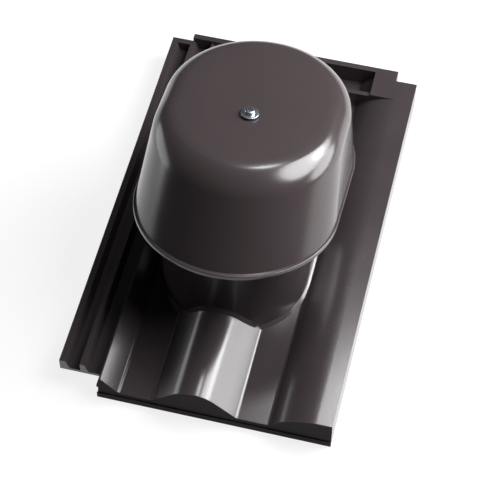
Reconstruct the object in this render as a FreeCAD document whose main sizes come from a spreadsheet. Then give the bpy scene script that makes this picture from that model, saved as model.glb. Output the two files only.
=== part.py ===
import FreeCAD, Part
import os
import re
import Sketcher
from FreeCAD import Placement, Rotation, Vector

# Every size of the vent, in millimetres and degrees, on one sheet.
SIZES = {
    # tile plate: length along +Y, side walls and skin
    "tile_length": 430, "axis_from_front": 184, "skin": 3, "tile_right": 131, "lock_left": 133,
    # side lock on the left: floor, two ribs and the lip beside the first pan
    "lock_under": 16, "lock_floor": 19.5, "rib_top": 30, "rib_width": 6, "rib_slope": 3.5,
    "inner_rib": 113, "inner_rib_width": 4.5, "lip_foot": 93.5, "lip_left": 91, "lip_top": 31,
    "lip_width": 1.5, "lock_front_gap": 11.5, "lock_head_gap": 6,
    # pans and rolls across the width
    "bevel_foot": 73, "pan_level": 13, "roll_half": 40.5, "roll_crest": 39, "crest_half": 20.2,
    "crest_rise": 7.8, "fold_round": 4.5, "cover_foot": 72, "cover_flat": 117, "cover_top": 34.6,
    # front apron
    "apron_left": 94, "apron_strip": 7.4, "apron_strip_out": 1.2,
    # head: rim, water bar, notch and hanging nibs
    "head_left": 111, "head_right": 109, "head_top": 34.4, "head_rim": 6, "bar_back": 33,
    "bar_width": 4.6, "bar_top": 32, "pocket_end": 86, "notch_depth": 13, "nib_inner": 45, "nib_outer": 71,
    "nib_front": 50, "nib_width": 14,
    # tower, leaning up the roof
    "lean": 10.2, "foot_half_x": 73, "foot_half_y": 94, "foot_cove": 3,
    "tower_top": 128, "mouth_half_x": 71, "mouth_half_y": 92,
    # duct floor and spigot under the tower
    "floor_level": 45, "spigot_outer": 125, "spigot_wall": 3,
    # bridge and post that take the screw
    "bridge_level": 112, "bridge_depth": 14, "bridge_arm": 4, "post_top": 166, "post_wide": 14,
    "pilot_depth": 30,
    # hood, measured up from its rim along the leaning axis
    "rim_level": 107, "hood_height": 82.5, "hood_half_x": 97, "hood_half_y": 133.4,
    "hood_draft": 9, "front_slant": 43, "back_slant": 2, "hood_skin": 3, "bead_height": 4.5, "bead_out": 1.2,
    "shoulder": 22,
    "fin_thick": 3, "fin_reach": 10, "fin_offset": 15,
    "boss_wide": 14, "boss_hole": 5.2,
    # screw and its two washers
    "washer_wide": 17, "washer_thick": 1.2, "seal_wide": 15, "seal_thick": 1.5, "washer_hole": 5.2,
    "screw_wide": 4.8, "screw_long": 42, "screw_tip": 4, "head_wide": 9.4, "head_height": 3.4,
    "recess_wide": 5, "recess_slot": 1.2, "recess_deep": 1.8,
}

doc = FreeCAD.newDocument("roof_tile_vent")
sheet = doc.addObject("Spreadsheet::Sheet", "Dims")
for row, (name, value) in enumerate(SIZES.items(), start=1):
    sheet.set(f"A{row}", name)
    sheet.set(f"B{row}", str(value))
    sheet.setAlias(f"B{row}", name)
doc.recompute()


def bound(text):
    """Expression in which each size's name stands for its cell on the sheet."""
    return re.sub(r"[a-z][a-z_]*", lambda m: f"Dims.{m[0]}" if m[0] in SIZES else m[0], text)


def value_of(text):
    """Number that an expression of sizes has now."""
    return float(sheet.evalExpression(bound(text)))


def bind(obj, **expressions):
    """Ties properties of an object to expressions of sizes."""
    for prop, text in expressions.items():
        obj.setExpression(prop.replace("__", "."), bound(text))


def new_sketch(body, plane, name, offset=("0", "0", "0"), leaning=False):
    """Sketch on one of the body's own planes, moved by offset and, if asked, leaning with the tower."""
    sketch = body.newObject("Sketcher::SketchObject", name)
    support = next(f for f in body.Origin.OriginFeatures if f.Role == plane)
    sketch.AttachmentSupport = [(support, "")]
    sketch.MapMode = "FlatFace"
    angle = value_of("lean") if leaning else 0.0
    sketch.AttachmentOffset = Placement(Vector(), Rotation(Vector(-1, 0, 0), angle))
    for axis, text in zip("xyz", offset):
        if text != "0":
            sketch.setExpression(f"AttachmentOffset.Base.{axis}", bound(text))
    if leaning:
        sketch.setExpression("AttachmentOffset.Rotation.Angle", bound("lean"))
    return sketch


def outline(sketch, points, arcs=None):
    """Closed outline through (x, y) expressions; arcs gives the radius of an edge, minus bows it right."""
    arcs = arcs or {}
    places = [Vector(value_of(x), value_of(y), 0) for x, y in points]
    edges = []
    for i, start in enumerate(places):
        end = places[(i + 1) % len(places)]
        if i in arcs:
            radius = value_of(arcs[i].lstrip("-"))
            chord = end - start
            bow = radius - max(radius ** 2 - chord.Length ** 2 / 4, 0.0) ** 0.5
            left = Vector(-chord.y, chord.x, 0).normalize()
            middle = (start + end) * 0.5 + left * (-bow if arcs[i].startswith("-") else bow)
            edges.append(sketch.addGeometry(Part.Arc(start, middle, end)))
        else:
            edges.append(sketch.addGeometry(Part.LineSegment(start, end)))
    ends = []
    for edge, start in zip(edges, places):
        at_start = sketch.getPoint(edge, 1).distanceToPoint(start) < 1e-6
        ends.append((1, 2) if at_start else (2, 1))
    for i, edge in enumerate(edges):
        after = (i + 1) % len(edges)
        sketch.addConstraint(Sketcher.Constraint("Coincident", edge, ends[i][1], edges[after], ends[after][0]))
    for i, (x, y) in enumerate(points):
        for kind, text, number in (("DistanceX", x, places[i].x), ("DistanceY", y, places[i].y)):
            made = sketch.addConstraint(Sketcher.Constraint(kind, -1, 1, edges[i], ends[i][0], number))
            sketch.setExpression(f"Constraints[{made}]", bound(text))
    for i, text in arcs.items():
        radius = text.lstrip("-")
        made = sketch.addConstraint(Sketcher.Constraint("Radius", edges[i], value_of(radius)))
        sketch.setExpression(f"Constraints[{made}]", bound(radius))


def box(sketch, left, right, low, high):
    """Rectangle between four expressions."""
    outline(sketch, [(left, low), (right, low), (right, high), (left, high)])


def oblong(sketch, radius, front, back):
    """Straight sides along Y with half-round ends whose middles lie that far in front and behind."""
    outline(sketch, [
        (radius, f"-{front}"), (radius, back), ("0", f"{back} + {radius}"), (f"-{radius}", back),
        (f"-{radius}", f"-{front}"), ("0", f"-{front} - {radius}"),
    ], {1: f"-{radius}", 2: f"-{radius}", 4: f"-{radius}", 5: f"-{radius}"})


def stadium(sketch, half_x, half_y, grow="0"):
    """Oblong about the sketch's origin, from its half sizes, grown outward by an expression."""
    side = f"({half_y} - ({half_x}))"
    oblong(sketch, f"({half_x} + ({grow}))", side, side)


def circle(sketch, wide):
    """Circle about the sketch's origin, given its diameter."""
    edge = sketch.addGeometry(Part.Circle(Vector(), Vector(0, 0, 1), value_of(wide) / 2))
    sketch.addConstraint(Sketcher.Constraint("Coincident", edge, 3, -1, 1))
    made = sketch.addConstraint(Sketcher.Constraint("Diameter", edge, value_of(wide)))
    sketch.setExpression(f"Constraints[{made}]", bound(wide))


def swept(body, kind, sketch, length, name, reverse=False):
    """Pad or Pocket of a sketch, by the length of an expression."""
    feature = body.newObject(f"PartDesign::{kind}", name)
    feature.Profile = sketch
    feature.Reversed = reverse
    bind(feature, Length=length)
    return feature


def lofted(body, kind, sections, name):
    """Straight-sided loft through sketches, added or taken away."""
    feature = body.newObject(f"PartDesign::{kind}Loft", name)
    feature.Profile = sections[0]
    feature.Sections = list(sections[1:])
    feature.Ruled = True
    return feature


def turned(body, kind, sketch, name):
    """Revolution or Groove of a sketch about the body's Z axis."""
    feature = body.newObject(f"PartDesign::{kind}", name)
    feature.Profile = sketch
    feature.ReferenceAxis = (next(f for f in body.Origin.OriginFeatures if f.Role == "Z_Axis"), [""])
    feature.Angle = 360
    return feature


def new_body(name):
    return doc.addObject("PartDesign::Body", name)


# Base tile: one moulding of plate, locks, apron, head, tower, duct spigot, bridge and post.
FRONT = "-axis_from_front"
HEAD = "tile_length - axis_from_front"
UNDER = "pan_level - skin"
CREST_RADIUS = "((crest_half ^ 2 + crest_rise ^ 2) / (2 * crest_rise))"
CREST_SIDE = "roll_crest - crest_rise"
COVER_RADIUS = "(((cover_flat - cover_foot) ^ 2 + (cover_top - pan_level) ^ 2) / (2 * (cover_top - pan_level)))"
ROLL_TURN = "skin * tan(atan((roll_crest - crest_rise - pan_level) / (roll_half - crest_half)) / 2)"
BEVEL_SLOPE = "((lip_top - pan_level) / (lip_left - lip_width - bevel_foot))"
BEVEL_TURN = f"skin * tan(atan({BEVEL_SLOPE}) / 2)"
CREST_SCALE = f"(1 - skin / {CREST_RADIUS})"
CREST_DROP = f"{CREST_SIDE} - skin * ({CREST_RADIUS} - crest_rise) / {CREST_RADIUS}"
COVER_IN = (f"cover_flat - sqrt(({COVER_RADIUS} - skin) ^ 2"
            f" - ({COVER_RADIUS} - cover_top + pan_level - skin) ^ 2)")
COVER_AT_POCKET = (f"cover_top - {COVER_RADIUS} - skin / 2"
                   f" + sqrt({COVER_RADIUS} ^ 2 - (cover_flat - pocket_end) ^ 2)")

WEATHER_SIDE = [
    ("-lip_left", "lip_top"), ("lip_width - lip_left", "lip_top"), ("-bevel_foot", "pan_level"),
    ("-roll_half", "pan_level"), ("-crest_half", CREST_SIDE), ("crest_half", CREST_SIDE),
    ("roll_half", "pan_level"), ("cover_foot", "pan_level"), ("cover_flat", "cover_top"),
    ("tile_right", "cover_top"), ("tile_right", "0"),
]
LOCK_SIDE = [
    ("-lock_left", "lock_under"), ("-lock_left", "rib_top"), ("rib_width - lock_left", "rib_top"),
    ("rib_width + rib_slope - lock_left", "lock_floor"), ("-inner_rib", "lock_floor"), ("-inner_rib", "rib_top"),
    ("inner_rib_width - inner_rib", "rib_top"), ("inner_rib_width + rib_slope - inner_rib", "lock_floor"),
    ("-lip_foot", "lock_floor"),
]
INNER_SIDE = [
    ("tile_right - skin", "0"), ("tile_right - skin", "cover_top - skin"), ("cover_flat", "cover_top - skin"),
    (COVER_IN, UNDER), (f"roll_half - {ROLL_TURN}", UNDER), (f"crest_half * {CREST_SCALE}", CREST_DROP),
    (f"-crest_half * {CREST_SCALE}", CREST_DROP), (f"-(roll_half - {ROLL_TURN})", UNDER),
    (f"-bevel_foot - {BEVEL_TURN}", UNDER),
    ("skin - lip_left", f"{UNDER} + (lip_left - skin - bevel_foot - {BEVEL_TURN}) * {BEVEL_SLOPE}"),
    ("skin - lip_left", "lock_under"),
]

tile = new_body("base_tile")
section = new_sketch(tile, "XZ_Plane", "cross_section", ("0", "0", "axis_from_front"))
first = len(LOCK_SIDE)
second = first + len(WEATHER_SIDE)
outline(section, LOCK_SIDE + WEATHER_SIDE + INNER_SIDE, {
    first + 4: CREST_RADIUS, first + 7: COVER_RADIUS,
    second + 2: f"-({COVER_RADIUS} - skin)", second + 5: f"-({CREST_RADIUS} - skin)",
})
plate = swept(tile, "Pad", section, "tile_length", "plate", reverse=True)
doc.recompute()


def long_edges(shape, corners):
    """Names of the plate's lengthwise edges that pass through the given corners of its section."""
    names = []
    for x, z in corners:
        for i, edge in enumerate(shape.Edges, start=1):
            spot = edge.CenterOfMass
            on_corner = abs(spot.x - value_of(x)) < 0.01 and abs(spot.z - value_of(z)) < 0.01
            if on_corner and edge.Length > value_of("tile_length / 2"):
                names.append(f"Edge{i}")
    return names


folds = tile.newObject("PartDesign::Fillet", "fold_rounds")
folds.Base = (plate, long_edges(plate.Shape, [WEATHER_SIDE[i] for i in (2, 3, 6, 7)]))
bind(folds, Radius="fold_round")

apron = new_sketch(tile, "XZ_Plane", "apron_face", ("0", "0", "axis_from_front"))
outline(apron, [("-apron_left", "0")] + WEATHER_SIDE, {5: CREST_RADIUS, 8: COVER_RADIUS})
swept(tile, "Pad", apron, "skin", "apron", reverse=True)
strip = new_sketch(tile, "XZ_Plane", "apron_strip_face", ("0", "0", "axis_from_front"))
box(strip, "-apron_left", "tile_right", "0", "apron_strip")
swept(tile, "Pad", strip, "apron_strip_out", "apron_foot")

rim = new_sketch(tile, "XZ_Plane", "head_rim_face", ("0", "0", f"-({HEAD})"))
box(rim, "-head_left", "head_right", UNDER, "head_top")
swept(tile, "Pad", rim, "head_rim", "head_wall")
roll_end = new_sketch(tile, "XZ_Plane", "roll_end_face", ("0", "0", f"-({HEAD})"))
outline(roll_end, WEATHER_SIDE[3:7], {1: CREST_RADIUS})
swept(tile, "Pad", roll_end, "skin", "roll_end")
bar = new_sketch(tile, "XZ_Plane", "water_bar_face", ("0", "0", f"bar_back - ({HEAD})"))
box(bar, "skin - lip_left", "cover_flat", UNDER, "bar_top")
swept(tile, "Pad", bar, "bar_width", "water_bar")
pocket = new_sketch(tile, "XZ_Plane", "pocket_end_face", ("0", "0", f"-({HEAD})"))
outline(pocket, [("pocket_end", COVER_AT_POCKET), ("pocket_end", "head_top"), ("cover_flat", "head_top")])
swept(tile, "Pad", pocket, "bar_back + bar_width", "pocket_end_wall")
lock_end = new_sketch(tile, "XZ_Plane", "lock_end_face", ("0", "0", f"lock_head_gap - ({HEAD})"))
box(lock_end, "-lock_left", "inner_rib_width - inner_rib", "lock_under", "rib_top")
swept(tile, "Pad", lock_end, "head_rim", "lock_end")

nibs = new_sketch(tile, "XY_Plane", "nib_plan")
for left, right in (("-nib_outer", "-nib_inner"), ("nib_inner", "nib_outer")):
    box(nibs, left, right, f"{HEAD} - nib_front", f"{HEAD} - nib_front + nib_width")
swept(tile, "Pad", nibs, f"{UNDER} + skin / 2", "hanging_nibs")

trims = new_sketch(tile, "XY_Plane", "end_trim_plan")
box(trims, "-lock_left - skin", "-apron_left", f"{FRONT} - skin", f"{FRONT} + lock_front_gap")
box(trims, "-lock_left - skin", "-head_left", f"{HEAD} - lock_head_gap", f"{HEAD} + skin")
box(trims, "head_right", "tile_right + skin", f"{HEAD} - notch_depth", f"{HEAD} + skin")
swept(tile, "Pocket", trims, "2 * roll_crest", "end_trims", reverse=True)

AXIS_Y = "{0} * sin(lean)"
AXIS_Z = "{0} * cos(lean)"


def axis_section(name, level, grow):
    """Cut square to the tower's leaning axis, at a height along it, grown from the tower's outer skin."""
    share = f"((({level}) - pan_level) / (tower_top - pan_level))"
    place = ("0", AXIS_Y.format(f"({level})"), AXIS_Z.format(f"({level})"))
    sketch = new_sketch(tile, "XY_Plane", name, place, leaning=True)
    stadium(sketch, f"(foot_half_x + (mouth_half_x - foot_half_x) * {share})",
            f"(foot_half_y + (mouth_half_y - foot_half_y) * {share})", grow)
    return sketch


# The tower is drawn from a cut that lies wholly under the plate, then trimmed level with its underside.
ROOT = f"(({UNDER}) - foot_half_y * sin(lean)) / cos(lean) - skin"
lofted(tile, "Additive", (axis_section("tower_root", ROOT, "0"),
                          axis_section("tower_mouth", "tower_top", "0")), "tower")
foot_plan = new_sketch(tile, "XY_Plane", "foot_trim_plan", ("0", f"({UNDER}) * tan(lean)", UNDER))
stadium(foot_plan, "foot_half_x", "foot_half_y", "2 * skin")
tower = swept(tile, "Pocket", foot_plan, "tower_top", "foot_trim")
doc.recompute()
sin_lean, cos_lean = value_of("sin(lean)"), value_of("cos(lean)")
TOUCH = 0.05
foot_edges = []
for i, edge in enumerate(tower.Shape.Edges, start=1):
    halfway = (edge.FirstParameter + edge.LastParameter) / 2
    middle = edge.valueAt(halfway)
    along = middle.y * sin_lean + middle.z * cos_lean
    across = middle.y * cos_lean - middle.z * sin_lean
    share = (along - value_of("pan_level")) / value_of("tower_top - pan_level")
    side = value_of("foot_half_x") + value_of("mouth_half_x - foot_half_x") * share
    straight = value_of("foot_half_y") + value_of("mouth_half_y - foot_half_y") * share - side
    past = across - max(min(across, straight), -straight)
    outward = Vector(middle.x, past * cos_lean, -past * sin_lean)
    on_wall = abs(outward.Length - side) < TOUCH
    at_foot = value_of("pan_level") - TOUCH < middle.z < value_of("roll_crest") + TOUCH
    if on_wall and at_foot:
        outward.normalize()
        above = middle + outward + Vector(0, 0, value_of("skin / 2"))
        below = middle + outward / 2 - Vector(0, 0, value_of("skin / 2"))
        clear = not tower.Shape.isInside(above, TOUCH, False)
        rooted = tower.Shape.isInside(below, TOUCH, False)
        if clear and rooted and abs(edge.tangentAt(halfway).z) < 0.95:
            foot_edges.append(f"Edge{i}")
cove = tile.newObject("PartDesign::Chamfer", "tower_cove")
cove.Base = (tower, foot_edges)
bind(cove, Size="foot_cove")
lofted(tile, "Subtractive", (axis_section("tube_root", f"{ROOT} - skin", "-skin"),
                             axis_section("tube_mouth", "tower_top", "-skin")), "tube")

FLOOR_SHARE = "((floor_level / cos(lean) - pan_level) / (tower_top - pan_level))"
floor = new_sketch(tile, "XY_Plane", "duct_floor_plan", ("0", "floor_level * tan(lean)", "floor_level"))
stadium(floor, f"(foot_half_x + (mouth_half_x - foot_half_x) * {FLOOR_SHARE})",
        f"((foot_half_y + (mouth_half_y - foot_half_y) * {FLOOR_SHARE}) / cos(lean))", "-skin / 2")
swept(tile, "Pad", floor, "skin", "duct_floor")
spigot = new_sketch(tile, "XY_Plane", "spigot_plan")
circle(spigot, "spigot_outer")
swept(tile, "Pad", spigot, "floor_level + skin / 2", "spigot")
bore = new_sketch(tile, "XY_Plane", "spigot_bore_plan")
circle(bore, "spigot_outer - 2 * spigot_wall")
swept(tile, "Pocket", bore, "floor_level + 2 * skin", "spigot_bore", reverse=True)

ON_BRIDGE = ("0", AXIS_Y.format("bridge_level"), AXIS_Z.format("bridge_level"))
REACH_X = "mouth_half_x - skin / 2"
REACH_Y = "mouth_half_y - skin / 2"
ARM = "bridge_arm / 2"
bridge = new_sketch(tile, "XY_Plane", "bridge_plan", ON_BRIDGE, leaning=True)
outline(bridge, [
    (f"-({REACH_X})", f"-{ARM}"), (f"-{ARM}", f"-{ARM}"), (f"-{ARM}", f"-({REACH_Y})"), (ARM, f"-({REACH_Y})"),
    (ARM, f"-{ARM}"), (REACH_X, f"-{ARM}"), (REACH_X, ARM), (ARM, ARM), (ARM, REACH_Y), (f"-{ARM}", REACH_Y),
    (f"-{ARM}", ARM), (f"-({REACH_X})", ARM),
])
swept(tile, "Pad", bridge, "bridge_depth", "bridge")
post = new_sketch(tile, "XY_Plane", "post_plan", ON_BRIDGE, leaning=True)
circle(post, "post_wide")
swept(tile, "Pad", post, "post_top - bridge_level", "post")
pilot = new_sketch(tile, "XY_Plane", "pilot_plan",
                   ("0", AXIS_Y.format("post_top"), AXIS_Z.format("post_top")), leaning=True)
circle(pilot, "screw_wide")
swept(tile, "Pocket", pilot, "pilot_depth", "pilot_hole")


# Hood: a shell with a slanting front and a bead round its rim.
# Inside, four fins sit on the tower's mouth and a boss sits on the post.
WALL_TURN = "atan(hood_draft / hood_height)"
WALL_FOOT = "(hood_half_x - bead_out)"
CROWN_SIDE = (f"({WALL_FOOT} - (hood_height - shoulder) * hood_draft / hood_height"
              f" - shoulder / cos({WALL_TURN}))")
HOOD_STRAIGHT = "(hood_half_y - hood_half_x)"
HALFWAY = "(hood_height - shoulder) / 2"


def hood_form(name, inset, turns):
    """Solid of the hood's form, set in from its skin; turns are the steps of its shoulder, in degrees."""
    body = new_body(name)
    radius = f"(shoulder - {inset})"
    foot = f"{WALL_FOOT} - {inset} / cos({WALL_TURN})"
    rows = [(foot, "0"), (f"{foot} - {HALFWAY} * hood_draft / hood_height", HALFWAY)]
    for turn in (WALL_TURN,) + turns:
        side = f"{CROWN_SIDE} + {radius} * cos({turn})"
        rows.append((side, f"hood_height - shoulder + {radius} * sin({turn})"))
    sections = []
    for number, (side, level) in enumerate(rows, start=1):
        sketch = new_sketch(body, "XY_Plane", f"{name}_level_{number}", ("0", "0", level))
        share = f"({level}) / hood_height"
        oblong(sketch, f"({side})", f"({HOOD_STRAIGHT} - front_slant * {share})",
               f"({HOOD_STRAIGHT} - back_slant * {share})")
        sections.append(sketch)
    lofted(body, "Additive", sections, f"{name}_loft")
    return body


def solid(kind, name, place=("0", "0", "0"), **sizes):
    """Box or cylinder with its sizes and its place tied to the sheet."""
    made = doc.addObject(f"Part::{kind}", name)
    bind(made, **sizes)
    for axis, text in zip("xyz", place):
        made.setExpression(f"Placement.Base.{axis}", bound(text))
    return made


def joined(name, shapes):
    """Union of several shapes."""
    made = doc.addObject("Part::MultiFuse", name)
    made.Shapes = shapes
    return made


def taken(name, base, tool):
    """One shape less another."""
    made = doc.addObject("Part::Cut", name)
    made.Base = base
    made.Tool = tool
    return made


outside = hood_form("hood_outside", "0", ("28", "49", "70", "90"))
midwall = hood_form("hood_midwall", "(hood_skin / 2)", ("34", "62", "90"))
inside = hood_form("hood_inside", "hood_skin", ("34", "62", "90"))
bead = new_body("hood_bead")
bead_plan = new_sketch(bead, "XY_Plane", "bead_plan")
oblong(bead_plan, "hood_half_x", HOOD_STRAIGHT, HOOD_STRAIGHT)
swept(bead, "Pad", bead_plan, "bead_height", "bead")
shell = taken("hood_shell", joined("hood_and_bead", [outside, bead]), inside)

SEAT = "tower_top - rim_level"
FLAT_MIDDLE = "(front_slant - back_slant) * (1 - shoulder / hood_height) / 2"
fins = []
for side in (-1, 1):
    near = "mouth_half_x - fin_reach" if side > 0 else "-1.2 * hood_half_x"
    for end in (-1, 1):
        fins.append(solid("Box", f"fin_{len(fins) + 1}",
                          (near, f"{FLAT_MIDDLE} + {end} * fin_offset - fin_thick / 2", SEAT),
                          Length="1.2 * hood_half_x - mouth_half_x + fin_reach", Width="fin_thick",
                          Height=f"hood_height - shoulder - ({SEAT})"))
boss = solid("Cylinder", "hood_boss", ("0", "0", "post_top - rim_level"), Radius="boss_wide / 2",
             Height="hood_height - post_top + rim_level - hood_skin / 2")
kept = doc.addObject("Part::Common", "hood_fins_trimmed")
kept.Base = midwall
kept.Tool = joined("hood_fins", fins + [boss])
screw_way = solid("Cylinder", "screw_way", Radius="boss_hole / 2", Height="2 * hood_height")
hood = taken("hood", joined("hood_blank", [shell, kept]), screw_way)


# Fastening at the crown: seal, washer and pan-head screw on the leaning axis.
def ring(name, wide, thick):
    """Flat ring about Z."""
    body = new_body(name)
    sketch = new_sketch(body, "XZ_Plane", f"{name}_half")
    box(sketch, "washer_hole / 2", f"{wide} / 2", "0", thick)
    turned(body, "Revolution", sketch, f"{name}_turn")
    return body


seal = ring("hood_seal", "seal_wide", "seal_thick")
washer = ring("hood_washer", "washer_wide", "washer_thick")

screw = new_body("hood_screw")
half = new_sketch(screw, "XZ_Plane", "screw_half")
outline(half, [
    ("0", "-screw_long"), ("screw_wide / 2", "screw_tip - screw_long"), ("screw_wide / 2", "0"),
    ("head_wide / 2", "0"), ("head_wide / 2", "head_height / 2"),
    ("head_wide / 2 - head_height / 2", "head_height"), ("0", "head_height"),
])
turned(screw, "Revolution", half, "screw_turn")
recess = new_sketch(screw, "XY_Plane", "recess_plan", ("0", "0", "head_height"))
W = "recess_wide / 2"
S = "recess_slot / 2"
outline(recess, [(f"-{W}", f"-{S}"), (f"-{S}", f"-{S}"), (f"-{S}", f"-{W}"), (S, f"-{W}"), (S, f"-{S}"),
                 (W, f"-{S}"), (W, S), (S, S), (S, W), (f"-{S}", W), (f"-{S}", S), (f"-{W}", S)])
swept(screw, "Pocket", recess, "recess_deep", "recess")

# The crown's parts share the tower's leaning axis, each at its own height on it.
STACK = {
    hood: "rim_level",
    seal: "rim_level + hood_height",
    washer: "rim_level + hood_height + seal_thick",
    screw: "rim_level + hood_height + seal_thick + washer_thick",
}
for piece, height in STACK.items():
    piece.Placement = Placement(Vector(), Rotation(Vector(-1, 0, 0), value_of("lean")))
    piece.setExpression("Placement.Base.y", bound(f"({height}) * sin(lean)"))
    piece.setExpression("Placement.Base.z", bound(f"({height}) * cos(lean)"))
    piece.setExpression("Placement.Rotation.Angle", bound("lean"))
doc.recompute()

for item in doc.Objects:
    if "Invalid" in item.State or "Error" in item.State:
        raise RuntimeError(f"{item.Label}: {item.State}")
os.makedirs("parts", exist_ok=True)
for piece in (tile, hood, seal, washer, screw):
    if piece.Shape.isNull() or not piece.Shape.isValid():
        raise RuntimeError(f"{piece.Label}: no valid solid")
    piece.Shape.exportStep(f"parts/{piece.Label}.step")
    print(piece.Label, piece.Shape.BoundBox, len(piece.Shape.Solids), round(piece.Shape.Volume / 1000, 2))
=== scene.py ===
# %% [markdown]
# This lesson dresses a roof tile vent: an interlocking plastic tile whose tower leans up the roof, a domed hood over
# the tower's mouth, and one screw with a washer and a seal at the crown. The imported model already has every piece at
# its real size and place, so the lesson loads it first and moves nothing.

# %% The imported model
import math

import bmesh
import bpy
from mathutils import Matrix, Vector


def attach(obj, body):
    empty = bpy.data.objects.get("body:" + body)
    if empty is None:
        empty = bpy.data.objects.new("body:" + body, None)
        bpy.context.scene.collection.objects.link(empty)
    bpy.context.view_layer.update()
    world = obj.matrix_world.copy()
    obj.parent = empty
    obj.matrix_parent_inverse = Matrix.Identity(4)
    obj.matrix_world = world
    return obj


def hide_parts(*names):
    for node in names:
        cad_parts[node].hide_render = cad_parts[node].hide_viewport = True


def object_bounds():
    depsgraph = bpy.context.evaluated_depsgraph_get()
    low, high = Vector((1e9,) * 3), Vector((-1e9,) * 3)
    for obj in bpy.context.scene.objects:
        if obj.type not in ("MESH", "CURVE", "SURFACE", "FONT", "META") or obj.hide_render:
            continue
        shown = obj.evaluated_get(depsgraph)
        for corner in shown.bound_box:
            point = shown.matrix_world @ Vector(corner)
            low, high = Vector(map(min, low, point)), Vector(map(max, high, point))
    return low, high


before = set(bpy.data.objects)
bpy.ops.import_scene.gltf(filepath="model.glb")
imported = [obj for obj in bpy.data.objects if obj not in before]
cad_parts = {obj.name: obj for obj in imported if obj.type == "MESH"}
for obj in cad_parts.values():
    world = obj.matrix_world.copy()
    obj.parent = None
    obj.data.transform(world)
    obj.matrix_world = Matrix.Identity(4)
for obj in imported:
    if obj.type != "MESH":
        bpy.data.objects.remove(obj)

MM = 0.001
model_low, model_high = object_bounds()
print("model measures", [round(side / MM, 1) for side in model_high - model_low], "mm")

# %% [markdown]
# The vent is seen from the front and well above, by a long lens that hardly narrows the tile towards its head.
# The camera could be placed by eye, but its place follows from the tile's straight edges, so it is written as
# the point where it stands and the point that it looks at.

# %% Camera
LENS_MM = 135.15
SENSOR_MM = 36
EYE = Vector((0.2405, -0.9796, 1.4781))
AIM = Vector((-0.0063, 0.0216, 0.0))


def facing(place, target):
    """Turn that makes a camera or a lamp at a place look at a target."""
    return (target - place).to_track_quat("-Z", "Y").to_euler()


bpy.ops.object.camera_add(location=EYE, rotation=facing(EYE, AIM))
camera = bpy.context.object
camera.name = "photo_camera"
camera.data.lens = LENS_MM
camera.data.sensor_width = SENSOR_MM
bpy.context.scene.camera = camera
bpy.context.scene.view_settings.view_transform = "Standard"
print("camera stands", round((EYE - AIM).length, 3), "m away")

# %% [markdown]
# Glossy dark plastic is drawn by what it reflects. The lamps are round soft boxes. A large one high at the right draws
# the crescent on the hood's shoulder. Below it a smaller one lights the right half of the middle roll, and a wide one
# near the floor lights the upright edges. A small one high at the back lies along the flat of the cover roll, and a
# weak one at the left lifts the hood's left wall. Everything else stays nearly black, so the front walls go dark.

# %% Studio light
WORLD_GREY = 0.04
MIDDLE = Vector((0, 0.03, 0.1))
LAMPS = {
    "key_box": {"azimuth": 110, "height": 50, "away": 1.1, "size": (0.95, 0.75), "radiance": 11},
    "roll_box": {"azimuth": 127, "height": 36, "away": 1.0, "size": (0.42, 0.40), "radiance": 9},
    "right_strip": {"azimuth": 106, "height": 16, "away": 1.1, "size": (0.8, 0.56), "radiance": 7.5},
    "back_box": {"azimuth": 167, "height": 69, "away": 0.96, "size": (0.17, 0.24), "radiance": 16},
    "left_box": {"azimuth": 264, "height": 6, "away": 1.1, "size": (0.80, 0.55), "radiance": 2.4},
}


def grey(level):
    """Neutral colour of that level."""
    return level, level, level, 1


def add_soft_box(name, azimuth, height, away, size, radiance):
    """Evenly bright round panel that faces the vent.

    Azimuth 0 is in front and 90 at the right, and height is the angle above the horizon.
    """
    turn, rise = math.radians(azimuth), math.radians(height)
    direction = Vector((math.sin(turn) * math.cos(rise), -math.cos(turn) * math.cos(rise), math.sin(rise)))
    place = MIDDLE + away * direction
    bpy.ops.object.light_add(type="AREA", location=place, rotation=facing(place, MIDDLE))
    lamp = bpy.context.object
    lamp.name = name
    lamp.data.shape = "ELLIPSE"
    lamp.data.size, lamp.data.size_y = size
    area = math.pi / 4 * size[0] * size[1]
    lamp.data.energy = radiance * math.pi * area
    return lamp


for name, settings in LAMPS.items():
    lamp = add_soft_box(name, **settings)
    print(name, "gives", round(lamp.data.energy, 1), "W")

world = bpy.data.worlds.new("studio_grey")
world.use_nodes = True
world.node_tree.nodes["Background"].inputs["Color"].default_value = grey(WORLD_GREY)
bpy.context.scene.world = world

# %% [markdown]
# Every finish in this lesson is a small tree of shader nodes. Placing them one by one takes many lines, so two helpers
# come first: one adds a node with its settings, and one starts a material.

# %% Node helpers
def node_maker(tree):
    """Short way to add a node to a tree and set its fields and its unlinked sockets."""
    def make(kind, fields=None, **sockets):
        node = tree.nodes.new(kind)
        for field, value in (fields or {}).items():
            setattr(node, field, value)
        for socket, value in sockets.items():
            node.inputs[socket.replace("_", " ")].default_value = value
        return node
    return make


def new_material(name):
    """New material with its node maker and its linker."""
    material = bpy.data.materials.new(name)
    material.use_nodes = True
    return material, node_maker(material.node_tree), material.node_tree.links.new


def main_shader(material):
    """Shader that a new material starts with."""
    return material.node_tree.nodes["Principled BSDF"]


print("node helpers are ready")

# %% [markdown]
# The floor is white round the vent and fades to the studio's grey far out, so that no bright horizon shows in the
# walls. The white could come from stronger lamps, but those would also bleach the vent. It is a glow that only the
# camera and mirror-like surfaces see, and the grey paint under it still catches the soft shadow. That paint is a
# little lighter inside the white than far out, a painted pool of light.

# %% Floor
FLOOR_SIZE = 8.0
WHITE_REACH = 1.2
FADE_REACH = 2.6
POOL_LIT_PAINT = 0.22
FAR_PAINT = 0.16
FLOOR_GLOW = 0.82


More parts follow.
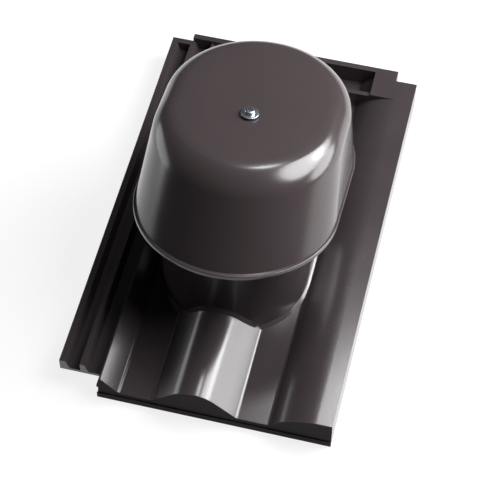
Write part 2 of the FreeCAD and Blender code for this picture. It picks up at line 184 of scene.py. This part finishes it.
def floor_material():
    """Matt floor with a white pool of light round the object, and a painted pool of light in its grey paint."""
    material, make, link = new_material("studio_floor")
    material.node_tree.nodes.clear()
    place = make("ShaderNodeTexCoord")
    away = make("ShaderNodeVectorMath", {"operation": "DISTANCE"})
    away.inputs[1].default_value = (AIM.x, AIM.y, 0.0)
    pool = make("ShaderNodeMapRange", {"interpolation_type": "SMOOTHSTEP"}, From_Min=WHITE_REACH,
                From_Max=FADE_REACH, To_Min=1.0, To_Max=0.0)
    link(place.outputs["Object"], away.inputs[0])
    link(away.outputs["Value"], pool.inputs["Value"])
    # The grey paint is lighter near the vent than far out: a painted pool of light.
    paint = make("ShaderNodeMixRGB", Color1=grey(FAR_PAINT), Color2=grey(POOL_LIT_PAINT))
    link(pool.outputs["Result"], paint.inputs["Fac"])
    matt = make("ShaderNodeBsdfDiffuse")
    link(paint.outputs["Color"], matt.inputs["Color"])
    rays = make("ShaderNodeLightPath")
    seen = make("ShaderNodeMath", {"operation": "ADD"})
    seen_through = make("ShaderNodeMath", {"operation": "ADD", "use_clamp": True})
    link(rays.outputs["Is Camera Ray"], seen.inputs[0])
    link(rays.outputs["Is Glossy Ray"], seen.inputs[1])
    link(seen.outputs["Value"], seen_through.inputs[0])
    link(rays.outputs["Is Transmission Ray"], seen_through.inputs[1])
    share = make("ShaderNodeMath", {"operation": "MULTIPLY"})
    link(pool.outputs["Result"], share.inputs[0])
    link(seen_through.outputs["Value"], share.inputs[1])
    strength = make("ShaderNodeMath", {"operation": "MULTIPLY"})
    strength.inputs[1].default_value = FLOOR_GLOW
    link(share.outputs["Value"], strength.inputs[0])
    glow = make("ShaderNodeEmission")
    link(strength.outputs["Value"], glow.inputs["Strength"])
    both = make("ShaderNodeAddShader")
    link(matt.outputs["BSDF"], both.inputs[0])
    link(glow.outputs["Emission"], both.inputs[1])
    end = make("ShaderNodeOutputMaterial")
    link(both.outputs["Shader"], end.inputs["Surface"])
    return material


def deselect():
    """Nothing selected, so that an operator acts only on what is made or picked next."""
    bpy.ops.object.select_all(action="DESELECT")


deselect()
bpy.ops.mesh.primitive_plane_add(size=FLOOR_SIZE, location=(0, 0, model_low.z))
floor = bpy.context.object
floor.name = "floor"
floor.data.materials.append(floor_material())
print("floor lies at", round(model_low.z / MM, 2), "mm")

# %% [markdown]
# Moulded plastic is never a flat colour: the skin has a fine grain from the steel mould, and the gloss changes gently
# where the melt flowed. Both could be painted for each piece. One node group that puts out a shade, a roughness and a
# height serves the tile and the hood, each with values of its own.

# %% Moulded skin group
GRAIN_SHARE = 0.35


def moulded_skin():
    """Shade, roughness and height of a moulded surface, from a fine grain and a broad flow pattern."""
    group = bpy.data.node_groups.new("moulded_skin", "ShaderNodeTree")
    sockets = group.interface.new_socket
    sockets("Vector", in_out="INPUT", socket_type="NodeSocketVector")
    for name in ("Grain", "Flow", "Smoothest", "Roughest"):
        sockets(name, in_out="INPUT", socket_type="NodeSocketFloat")
    for name in ("Shade", "Roughness", "Height"):
        sockets(name, in_out="OUTPUT", socket_type="NodeSocketFloat")
    make = node_maker(group)
    link = group.links.new
    given = make("NodeGroupInput")
    result = make("NodeGroupOutput")
    grain = make("ShaderNodeTexNoise", Detail=3.0, Roughness=0.6)
    flow = make("ShaderNodeTexNoise", Detail=4.0, Roughness=0.55, Distortion=0.6)
    for texture, scale in ((grain, "Grain"), (flow, "Flow")):
        link(given.outputs["Vector"], texture.inputs["Vector"])
        link(given.outputs[scale], texture.inputs["Scale"])
    mixed = make("ShaderNodeMix", {"data_type": "FLOAT"}, Factor=GRAIN_SHARE)
    link(flow.outputs["Fac"], mixed.inputs["A"])
    link(grain.outputs["Fac"], mixed.inputs["B"])
    gloss = make("ShaderNodeMapRange", From_Min=0.3, From_Max=0.7)
    link(mixed.outputs["Result"], gloss.inputs["Value"])
    link(given.outputs["Smoothest"], gloss.inputs["To Min"])
    link(given.outputs["Roughest"], gloss.inputs["To Max"])
    link(mixed.outputs["Result"], result.inputs["Shade"])
    link(gloss.outputs["Result"], result.inputs["Roughness"])
    link(grain.outputs["Fac"], result.inputs["Height"])
    return group


skin_group = moulded_skin()
print("group", skin_group.name, "has", len(skin_group.nodes), "nodes")

# %% [markdown]
# The tile and the hood are the same brown-black plastic. The hood's skin is a little smoother, because its mould is
# polished for the rain to run off, while the tile's is grained. Both materials place the shared group and mix two near
# colours by its shade, and a thin coat adds the gloss of a polished mould.

# %% Plastics
TILE_DARK = (0.034, 0.027, 0.029, 1)
TILE_LIGHT = (0.046, 0.037, 0.039, 1)
HOOD_DARK = (0.042, 0.033, 0.035, 1)
HOOD_LIGHT = (0.054, 0.043, 0.045, 1)
COAT = 0.4
COAT_ROUGHNESS = 0.16
GRAIN_DEPTH = 0.4 * MM


def plastic(name, dark, light, relief, **skin_values):
    """Moulded plastic whose grain and gloss come from the shared group."""
    material, make, link = new_material(name)
    surface = main_shader(material)
    surface.inputs["Coat Weight"].default_value = COAT
    surface.inputs["Coat Roughness"].default_value = COAT_ROUGHNESS
    place = make("ShaderNodeTexCoord")
    skin = make("ShaderNodeGroup", {"node_tree": skin_group}, **skin_values)
    link(place.outputs["Object"], skin.inputs["Vector"])
    colour = make("ShaderNodeMixRGB", Color1=dark, Color2=light)
    link(skin.outputs["Shade"], colour.inputs["Fac"])
    link(colour.outputs["Color"], surface.inputs["Base Color"])
    link(skin.outputs["Roughness"], surface.inputs["Roughness"])
    bump = make("ShaderNodeBump", Strength=relief, Distance=GRAIN_DEPTH)
    link(skin.outputs["Height"], bump.inputs["Height"])
    link(bump.outputs["Normal"], surface.inputs["Normal"])
    return material


tile_plastic = plastic("tile_plastic", TILE_DARK, TILE_LIGHT, relief=0.14,
                       Grain=700.0, Flow=14.0, Smoothest=0.18, Roughest=0.28)
hood_plastic = plastic("hood_plastic", HOOD_DARK, HOOD_LIGHT, relief=0.10,
                       Grain=800.0, Flow=11.0, Smoothest=0.16, Roughest=0.25)
print("plastics", tile_plastic.name, hood_plastic.name)

# %% [markdown]
# The upright front end of the tile is dull and nearly black. It could have a material of its own, but it is the same
# plastic, so the tile's material only loses its coat and turns rough in front of a plane across the tile.

# %% Matt front end
END_PLANE = -183.4 * MM
END_FADE = 0.3 * MM
END_ROUGHNESS = 0.9


def matt_end(material, front):
    """Take the gloss off a material in front of a plane across the tile."""
    make = node_maker(material.node_tree)
    link = material.node_tree.links.new
    surface = main_shader(material)
    place = make("ShaderNodeTexCoord")
    parts = make("ShaderNodeSeparateXYZ")
    link(place.outputs["Object"], parts.inputs["Vector"])
    limits = {"From_Min": front, "From_Max": front - END_FADE}
    coat = make("ShaderNodeMapRange", **limits, To_Min=COAT, To_Max=0.0)
    rough = make("ShaderNodeMapRange", **limits, To_Min=0.0, To_Max=END_ROUGHNESS)
    for fade in (coat, rough):
        link(parts.outputs["Y"], fade.inputs["Value"])
    link(coat.outputs["Result"], surface.inputs["Coat Weight"])
    most = make("ShaderNodeMath", {"operation": "MAXIMUM"})
    link(surface.inputs["Roughness"].links[0].from_socket, most.inputs[0])
    link(rough.outputs["Result"], most.inputs[1])
    link(most.outputs["Value"], surface.inputs["Roughness"])


matt_end(tile_plastic, END_PLANE)
print("matt in front of", round(END_PLANE / MM, 1), "mm")

# %% [markdown]
# The screw and the washer are zinc plated, bluish and slightly cloudy, and the seal under them is black rubber. Plating
# is clear metal with a blotchy roughness, and rubber is dark and dull with a dusty bloom. Both change in small clouds,
# so one function makes the two.

# %% Zinc and rubber
def clouded(name, scale, detail, colours, roughness, metallic):
    """Surface whose colour and gloss change in small clouds."""
    material, make, link = new_material(name)
    surface = main_shader(material)
    surface.inputs["Metallic"].default_value = metallic
    place = make("ShaderNodeTexCoord")
    cloud = make("ShaderNodeTexNoise", Scale=scale, Detail=detail)
    link(place.outputs["Object"], cloud.inputs["Vector"])
    colour = make("ShaderNodeMixRGB", Color1=colours[0], Color2=colours[1])
    link(cloud.outputs["Fac"], colour.inputs["Fac"])
    link(colour.outputs["Color"], surface.inputs["Base Color"])
    gloss = make("ShaderNodeMapRange", To_Min=roughness[0], To_Max=roughness[1])
    link(cloud.outputs["Fac"], gloss.inputs["Value"])
    link(gloss.outputs["Result"], surface.inputs["Roughness"])
    return material


zinc = clouded("zinc_plate", scale=420.0, detail=4.0, colours=((0.42, 0.46, 0.54, 1), (0.62, 0.66, 0.74, 1)),
               roughness=(0.22, 0.42), metallic=1.0)
rubber = clouded("seal_rubber", scale=600.0, detail=5.0, colours=((0.010, 0.010, 0.011, 1), (0.026, 0.026, 0.027, 1)),
                 roughness=(0.55, 0.75), metallic=0.0)
print("metal and rubber", zinc.name, rubber.name)

# %% [markdown]
# Each step is a tool here, so that the cells of the pieces show only what is special to them.

# %% Piece tools
SMOOTH_ANGLE = math.radians(34)


def make_active(piece):
    """Make a piece the only selected one."""
    deselect()
    piece.select_set(True)
    bpy.context.view_layer.objects.active = piece


def edit(piece):
    """Go into edit mode of one piece with all of it selected."""
    make_active(piece)
    bpy.ops.object.mode_set(mode="EDIT")
    bpy.ops.mesh.select_all(action="SELECT")


def leave_edit():
    """Go back to object mode."""
    bpy.ops.object.mode_set(mode="OBJECT")


def apply_modifier(piece, kind, name, **settings):
    """Add a modifier with its settings and apply it."""
    modifier = piece.modifiers.new(name, kind)
    for setting, value in settings.items():
        setattr(modifier, setting, value)
    make_active(piece)
    bpy.ops.object.modifier_apply(modifier=name)


def smooth(piece):
    """Shade a piece smoothly, but keep its sharp edges."""
    make_active(piece)
    bpy.ops.object.shade_smooth_by_angle(angle=SMOOTH_ANGLE)


def finish_piece(piece, material, node):
    """Give a piece its finish and its slot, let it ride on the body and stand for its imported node."""
    piece.data.materials.clear()
    piece.data.materials.append(material)
    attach(piece, "root")
    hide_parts(node)
    print(piece.name, "has", len(piece.data.polygons), "faces")


print("piece tools are ready")

# %% [markdown]
# The tile with its tower is one moulding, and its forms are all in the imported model. Every edge of a moulding is a
# little round, and that round is what catches the light. The tile's mesh is copied, its loose triangles are merged,
# flat faces are joined up again, and a bevel softens all the sharp edges at once. The wide faces then rule the shading,
# so that a flat reflects as a flat and only its narrow edges look round.

# %% Tile
MERGE_DISTANCE = 0.02 * MM
FLAT_ANGLE = math.radians(0.6)
EDGE_ANGLE = math.radians(32)
TILE_EDGE_ROUND = 0.7 * MM


def copy_of_node(node, name):
    """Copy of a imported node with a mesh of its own, merged and with its flat faces joined."""
    make_active(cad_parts[node])
    bpy.ops.object.duplicate()
    piece = bpy.context.object
    piece.name = name
    piece.data.name = name
    edit(piece)
    bpy.ops.mesh.remove_doubles(threshold=MERGE_DISTANCE)
    bpy.ops.mesh.dissolve_limited(angle_limit=FLAT_ANGLE)
    leave_edit()
    return piece


tile = copy_of_node("base_tile", "vent_tile")
apply_modifier(tile, "BEVEL", "edge_round", width=TILE_EDGE_ROUND, segments=2, limit_method="ANGLE",
               angle_limit=EDGE_ANGLE, use_clamp_overlap=True)
smooth(tile)
apply_modifier(tile, "WEIGHTED_NORMAL", "flats_stay_flat", mode="FACE_AREA", weight=50, keep_sharp=True)
finish_piece(tile, tile_plastic, "base_tile")

# %% [markdown]
# The hood is an oblong dome of even wall: a bead round the rim, a wall that draws in as it rises, a round shoulder and
# a flat crown with a boss under it. It could be lathed and stretched, but then the wall would thin at the sides.
# A loop of edges is grown ring by ring instead. Each half of a ring is resized about the middle of its own round end,
# so the wall keeps its thickness all the way round.

# %% Ring tools
def pick(piece, test):
    """In edit mode, select just the points that pass a test."""
    bpy.ops.mesh.select_all(action="DESELECT")
    mesh = bmesh.from_edit_mesh(piece.data)
    for point in mesh.verts:
        point.select_set(test(point))
    mesh.select_flush(True)
    bmesh.update_edit_mesh(piece.data)


def picked(piece):
    """Numbers and places along Y of the points that are selected now."""
    mesh = bmesh.from_edit_mesh(piece.data)
    mesh.verts.index_update()
    return {point.index: point.co.y / MM for point in mesh.verts if point.select}


def move_halves(piece, points, now, then):
    """Bring the front and the back half of an oblong ring from one size and level to the next."""
    radius, front, back, level = now
    new_radius, new_front, new_back, new_level = then
    halfway = (back - front) / 2
    scale = new_radius / radius
    front_points = {number for number, y in points.items() if y < halfway}
    back_points = set(points) - front_points
    for half, middle, new_middle in ((front_points, -front, -new_front), (back_points, back, new_back)):
        pick(piece, lambda point: point.index in half)
        bpy.ops.transform.resize(value=(scale, scale, 1), center_override=(0, middle * MM, level * MM))
        bpy.ops.transform.translate(value=(0, (new_middle - middle) * MM, (new_level - level) * MM))


def grow_rings(name, rings, steps, closed=True):
    """Shell of rings: the radius of the ends, how far the ends' middles lie in front and behind, a level, in mm."""
    deselect()
    radius = rings[0][0]
    bpy.ops.mesh.primitive_circle_add(vertices=steps, radius=radius * MM, rotation=(0, 0, math.pi / steps))
    piece = bpy.context.object
    piece.name = name
    piece.data.name = name
    bpy.ops.object.transform_apply(location=True, rotation=True, scale=True)
    edit(piece)
    bpy.ops.mesh.select_mode(type="VERT")
    ring = picked(piece)
    move_halves(piece, ring, (radius, 0, 0, 0), rings[0])
    pick(piece, lambda point: point.index in ring)
    for now, then in zip(rings, rings[1:]):
        bpy.ops.mesh.extrude_region_move()
        ring = picked(piece)
        move_halves(piece, ring, now, then)
        pick(piece, lambda point: point.index in ring)
    bpy.ops.mesh.select_all(action="SELECT")
    if closed:
        bpy.ops.mesh.remove_doubles(threshold=MERGE_DISTANCE)
    bpy.ops.mesh.normals_make_consistent(inside=False)
    leave_edit()
    return piece


def arc(middle, radius, start, stop, steps):
    """Points (out, level) along an arc of a section, from one angle to another in degrees."""
    for step in range(steps + 1):
        angle = math.radians(start + (stop - start) * step / steps)
        yield middle[0] + radius * math.cos(angle), middle[1] + radius * math.sin(angle)


def upright(points, straight=0.0):
    """Rings through points of a section that stands square to its axis."""
    for out, level in points:
        yield out, straight, straight, level


print("ring tools are ready")

# %% [markdown]
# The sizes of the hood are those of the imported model, in mm, measured up from the rim along the leaning axis. The wall
# draws in by its draft. The front slants back as it rises, so the middle of the front round end moves back with the
# level.

# %% Hood wall
HOOD_HEIGHT = 82.5
HOOD_HALF = 97
HOOD_STRAIGHT = 36.4
HOOD_DRAFT = 9
FRONT_SLANT = 43
BACK_SLANT = 2
HOOD_SKIN = 3
SHOULDER = 22
BEAD_OUT = 1.2

slope = HOOD_DRAFT / HOOD_HEIGHT
wall_turn = math.atan(slope)
wall_foot = HOOD_HALF - BEAD_OUT
inner_foot = wall_foot - HOOD_SKIN / math.cos(wall_turn)
shoulder_foot = HOOD_HEIGHT - SHOULDER
crown_side = wall_foot - shoulder_foot * slope - SHOULDER / math.cos(wall_turn)


def wall(foot, low, high, steps):
    """Points up a drafted wall whose foot is that far out."""
    for step in range(steps + 1):
        level = low + (high - low) * step / steps
        yield foot - slope * level, level


def slanted(points):
    """Rings of the hood through points of its section, with the front end slanting."""
    for out, level in points:
        share = level / HOOD_HEIGHT
        yield out, HOOD_STRAIGHT - FRONT_SLANT * share, HOOD_STRAIGHT - BACK_SLANT * share, level


print("wall leans in", round(math.degrees(wall_turn), 1), "degrees, crown is", round(2 * crown_side, 1), "mm wide")

# %% [markdown]
# The section of the hood is written from the rim up the outside, over the crown, down the screw's hole, round the boss
# and back down the inside. The shoulder's arc stops short of the crown and goes on to it straight, because the packed
# model's shoulder is made in steps and the looks may not grow past it.

# %% Hood shell
LAST_TURN = 70
BEAD_HEIGHT = 4.5
BEAD_ROUND = 0.8
BEAD_STEPS = 3
HOLE_RADIUS = 2.6
HOLE_FLAT = 4
BOSS_RADIUS = 7
BOSS_FOOT = 59
WALL_STOP = 2
RIM_CHAMFER = 0.6
ROUND_STEPS = 160


def hood_section():
    """Rings of the hood's shell, once round its closed section."""
    bead = HOOD_HALF - BEAD_ROUND
    turn = math.degrees(wall_turn)
    middle = (crown_side, shoulder_foot)
    outer_top = shoulder_foot + SHOULDER * math.sin(wall_turn) - WALL_STOP
    inner_top = shoulder_foot + (SHOULDER - HOOD_SKIN) * math.sin(wall_turn) - WALL_STOP
    rings = list(upright(arc((bead, BEAD_ROUND), BEAD_ROUND, -90, 0, BEAD_STEPS), HOOD_STRAIGHT))
    rings += upright(arc((bead, BEAD_HEIGHT - BEAD_ROUND), BEAD_ROUND, 0, 90, BEAD_STEPS), HOOD_STRAIGHT)
    rings += slanted(wall(wall_foot, BEAD_HEIGHT, outer_top, steps=10))
    rings += slanted(arc(middle, SHOULDER, turn, LAST_TURN, steps=18))
    rings += slanted([(crown_side, HOOD_HEIGHT)])
    rings += [tuple((a + b) / 2 for a, b in zip(rings[-1], (HOLE_RADIUS, 0, 0, HOOD_HEIGHT)))]
    rings += upright([(HOLE_RADIUS + HOLE_FLAT, HOOD_HEIGHT), (HOLE_RADIUS, HOOD_HEIGHT), (HOLE_RADIUS, BOSS_FOOT)])
    rings += upright([(BOSS_RADIUS, BOSS_FOOT), (BOSS_RADIUS, HOOD_HEIGHT - HOOD_SKIN)])
    rings += slanted(arc(middle, SHOULDER - HOOD_SKIN, 90, turn, steps=12))
    rings += slanted(wall(inner_foot, inner_top, BEAD_ROUND, steps=8))
    rings += upright([(inner_foot + RIM_CHAMFER, 0)], HOOD_STRAIGHT)
    return rings + [rings[0]]


hood = grow_rings("vent_hood", hood_section(), ROUND_STEPS)
print("hood shell has", len(hood.data.polygons), "faces")

# %% [markdown]
# Four thin fins inside the hood sit on the tower's mouth and hold the gap that the air leaves by. They stand on the
# flat of the sides, so each one is a plain block whose outer edge follows the wall's draft. Its outer edge ends in
# the middle of the wall, and a union makes it one with the shell. Then the hood is lifted and leaned up the roof.

# %% Hood fins
FIN_THICK = 3
FIN_SEAT = 21
FIN_NEAR = 61
FIN_OFFSET = 15
LEAN = math.radians(10.2)
RIM_LEVEL = 107


def add_box(name, low, high):
    """Box between two corners in mm."""
    deselect()
    middle = [(a + b) / 2 * MM for a, b in zip(low, high)]
    bpy.ops.mesh.primitive_cube_add(size=1, location=middle)
    box = bpy.context.object
    box.name = name
    box.scale = [(b - a) * MM for a, b in zip(low, high)]
    bpy.ops.object.transform_apply(location=True, rotation=True, scale=True)
    return box


def cut_or_join(piece, tool, operation):
    """Boolean of a piece with a tool, which is used up."""
    apply_modifier(piece, "BOOLEAN", operation.lower(), operation=operation, object=tool, solver="EXACT")
    bpy.data.objects.remove(tool, do_unlink=True)


def add_fin(side, y):
    """Fin on the right (1) or left (-1) wall, with its outer edge in the middle of the leaning wall."""
    far = wall_foot - HOOD_SKIN / 2 / math.cos(wall_turn) - slope * FIN_SEAT
    low_x, high_x = sorted((side * FIN_NEAR, side * far))
    fin = add_box("fin", (low_x, y - FIN_THICK / 2, FIN_SEAT), (high_x, y + FIN_THICK / 2, shoulder_foot))
    edit(fin)
    pick(fin, lambda point: point.co.x * side > (far - 1) * MM and point.co.z > (shoulder_foot - 1) * MM)
    bpy.ops.transform.translate(value=(-side * slope * (shoulder_foot - FIN_SEAT) * MM, 0, 0))
    leave_edit()
    return fin


def seat(piece, level):
    """Lift a piece made at the origin along the tower's axis, lean it up the roof and shade it."""
    make_active(piece)
    piece.rotation_euler.x = -LEAN
    piece.location = (0, level * MM * math.sin(LEAN), level * MM * math.cos(LEAN))
    bpy.ops.object.transform_apply(location=True, rotation=True, scale=True)
    smooth(piece)


flat_middle = (FRONT_SLANT - BACK_SLANT) * shoulder_foot / HOOD_HEIGHT / 2
for side in (-1, 1):
    for offset in (-FIN_OFFSET, FIN_OFFSET):
        cut_or_join(hood, add_fin(side, flat_middle + offset), "UNION")
seat(hood, RIM_LEVEL)
finish_piece(hood, hood_plastic, "hood")

# %% [markdown]
# The fastening is a soft seal, a flat washer and a pan-head screw, stacked along the same axis. Each is turned, so the
# ring tools make them too, with rounded edges where the real ones are stamped or moulded.

# %% Seal and washer
HOOD_TOP = RIM_LEVEL + HOOD_HEIGHT
SEAL_RADIUS = 7.5
SEAL_THICK = 1.5
SEAL_EDGE = SEAL_THICK * 0.45
WASHER_RADIUS = 8.5
WASHER_THICK = 1.2
WASHER_EDGE = 0.35
EDGE_STEPS = 3
TURN_STEPS = 72


def ring_section(inner, outer, thick, edge):
    """Rings of a flat washer with rounded edges."""
    points = list(arc((outer - edge, edge), edge, -90, 0, EDGE_STEPS))
    points += arc((outer - edge, thick - edge), edge, 0, 90, EDGE_STEPS)
    points += arc((inner + edge, thick - edge), edge, 90, 180, EDGE_STEPS)
    points += arc((inner + edge, edge), edge, 180, 270, EDGE_STEPS)
    return list(upright(points + [points[0]]))


seal = grow_rings("screw_seal", ring_section(HOLE_RADIUS, SEAL_RADIUS, SEAL_THICK, SEAL_EDGE), TURN_STEPS)
seat(seal, HOOD_TOP)
finish_piece(seal, rubber, "hood_seal")

washer = grow_rings("screw_washer", ring_section(HOLE_RADIUS, WASHER_RADIUS, WASHER_THICK, WASHER_EDGE), TURN_STEPS)
seat(washer, HOOD_TOP + SEAL_THICK)
finish_piece(washer, zinc, "hood_washer")

# %% [markdown]
# The screw has a low domed head with a cross recess. The body is turned as one section whose two tiny end rings are
# filled, and the cross is cut out of the head with two crossed bars.

# %% Screw
SHANK_RADIUS = 2.4
SHANK_LONG = 42
SHANK_TIP = 4
HEAD_RADIUS = 4.7
HEAD_HEIGHT = 3.4
HEAD_EDGE = 0.2
HEAD_CROWN = 1.5
CROWN_TURN = 78
RECESS_WIDE = 5
RECESS_SLOT = 1.2
RECESS_DEEP = 1.8
POINT = 0.02


def screw_section():
    """Rings of the screw from its point to the middle of its head."""
    points = [(POINT, -SHANK_LONG), (SHANK_RADIUS, SHANK_TIP - SHANK_LONG), (SHANK_RADIUS, 0)]
    points += [(HEAD_RADIUS - HEAD_EDGE, 0), (HEAD_RADIUS, HEAD_EDGE)]
    points += arc((HEAD_RADIUS - HEAD_CROWN, HEAD_HEIGHT - HEAD_CROWN), HEAD_CROWN, 0, CROWN_TURN, steps=6)
    return list(upright(points + [(POINT, HEAD_HEIGHT)]))


screw = grow_rings("hood_screw_turned", screw_section(), TURN_STEPS, closed=False)
edit(screw)
bpy.ops.mesh.fill_holes(sides=0)
bpy.ops.mesh.select_all(action="SELECT")
bpy.ops.mesh.normals_make_consistent(inside=False)
leave_edit()
reach, slot_half = RECESS_WIDE / 2, RECESS_SLOT / 2
for name, x, y in (("cross_bar", reach, slot_half), ("upright_bar", slot_half, reach)):
    bar = add_box(name, (-x, -y, HEAD_HEIGHT - RECESS_DEEP), (x, y, HEAD_HEIGHT + 1))
    cut_or_join(screw, bar, "DIFFERENCE")
seat(screw, HOOD_TOP + SEAL_THICK + WASHER_THICK)
finish_piece(screw, zinc, "hood_screw")
